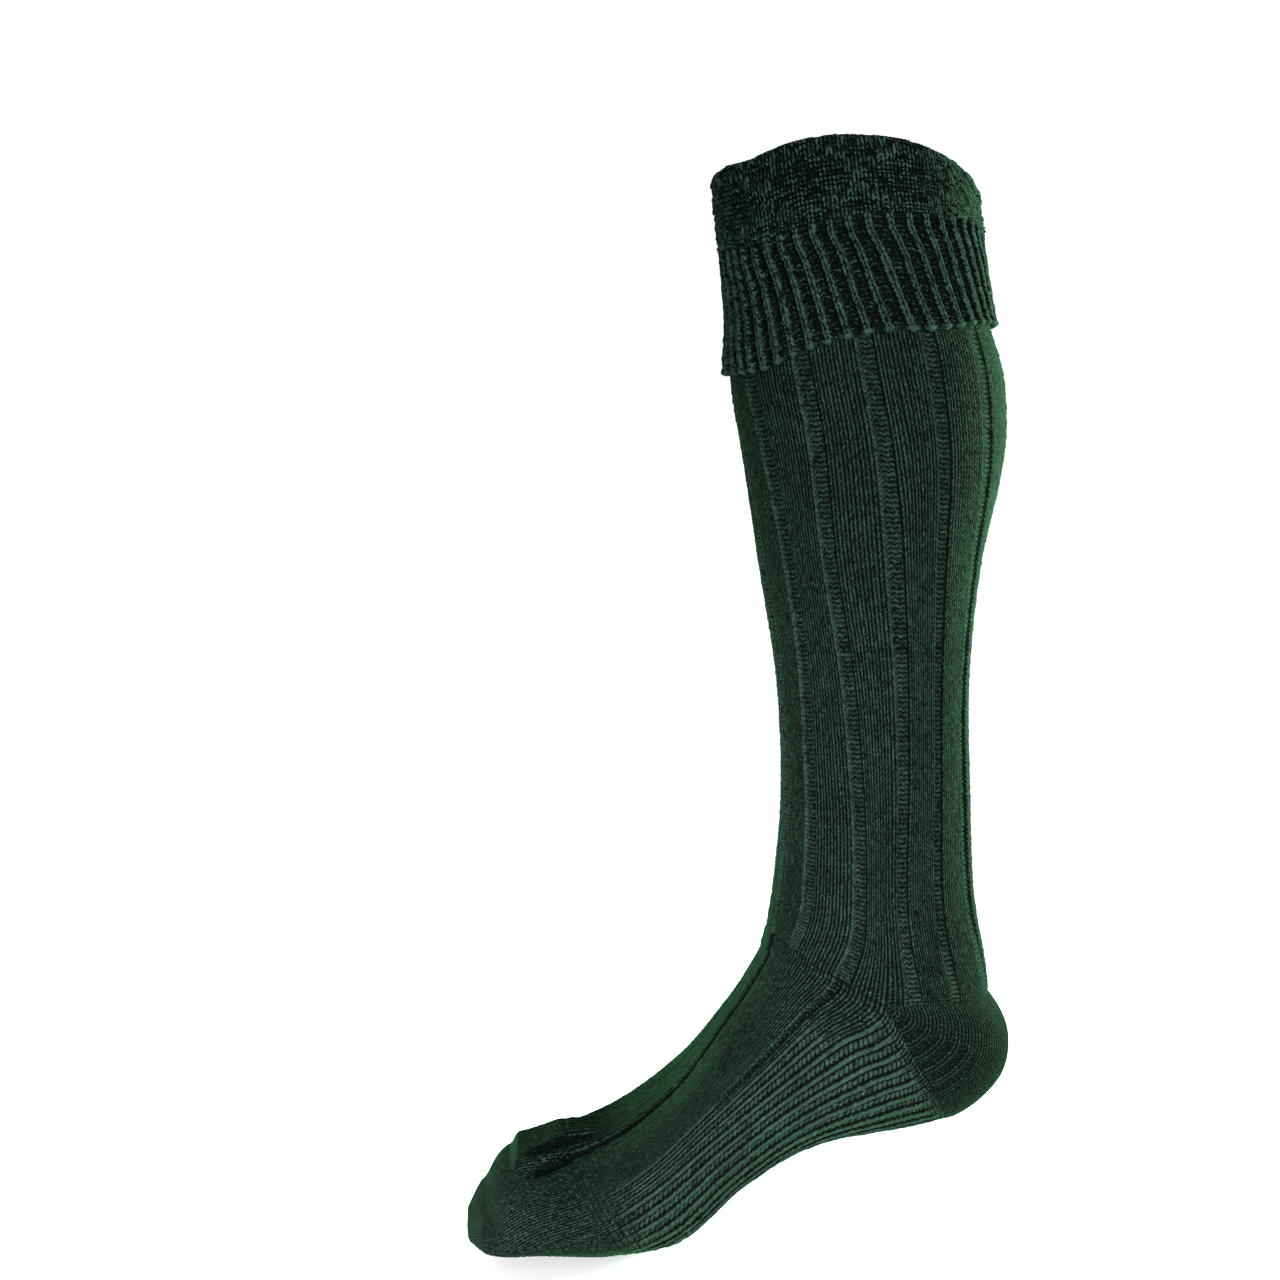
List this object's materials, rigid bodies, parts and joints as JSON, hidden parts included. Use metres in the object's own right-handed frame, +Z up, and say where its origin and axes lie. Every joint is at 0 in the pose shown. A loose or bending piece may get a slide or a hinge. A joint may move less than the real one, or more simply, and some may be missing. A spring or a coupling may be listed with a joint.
{
  "type": "kilt hose sock",
  "caption": "Knee-high knitted wool sock for a kilt, a right one in the form it has on a leg, with panelled leg, shaped heel, ribbed foot and turned-down ribbed cuff.",
  "frame": {"origin": "centre of the leg opening, at the middle height of the folded rim", "axes": "+Z up the leg and out of the opening, -Y towards the toes, +X towards the inner side of the leg"},
  "size_m": [0.1217, 0.2556, 0.496],
  "materials": {
    "leg_knit": "matt wool, plain panels with sunken purl lines",
    "heel_knit": "matt wool, plain knit",
    "foot_knit": "matt wool, panels over the instep and fine ribs round the sole",
    "toe_knit": "matt wool, plain knit",
    "band_knit": "matt wool, patterned in low relief",
    "rib_knit": "matt wool, coarse rib"
  },
  "bodies": {
    "root": {"leg_tube": "leg_knit", "heel_pocket": "heel_knit", "foot_tube": "foot_knit", "toe_cap": "toe_knit", "cuff_band": "band_knit", "cuff_rib": "rib_knit"}
  },
  "joints": []
}
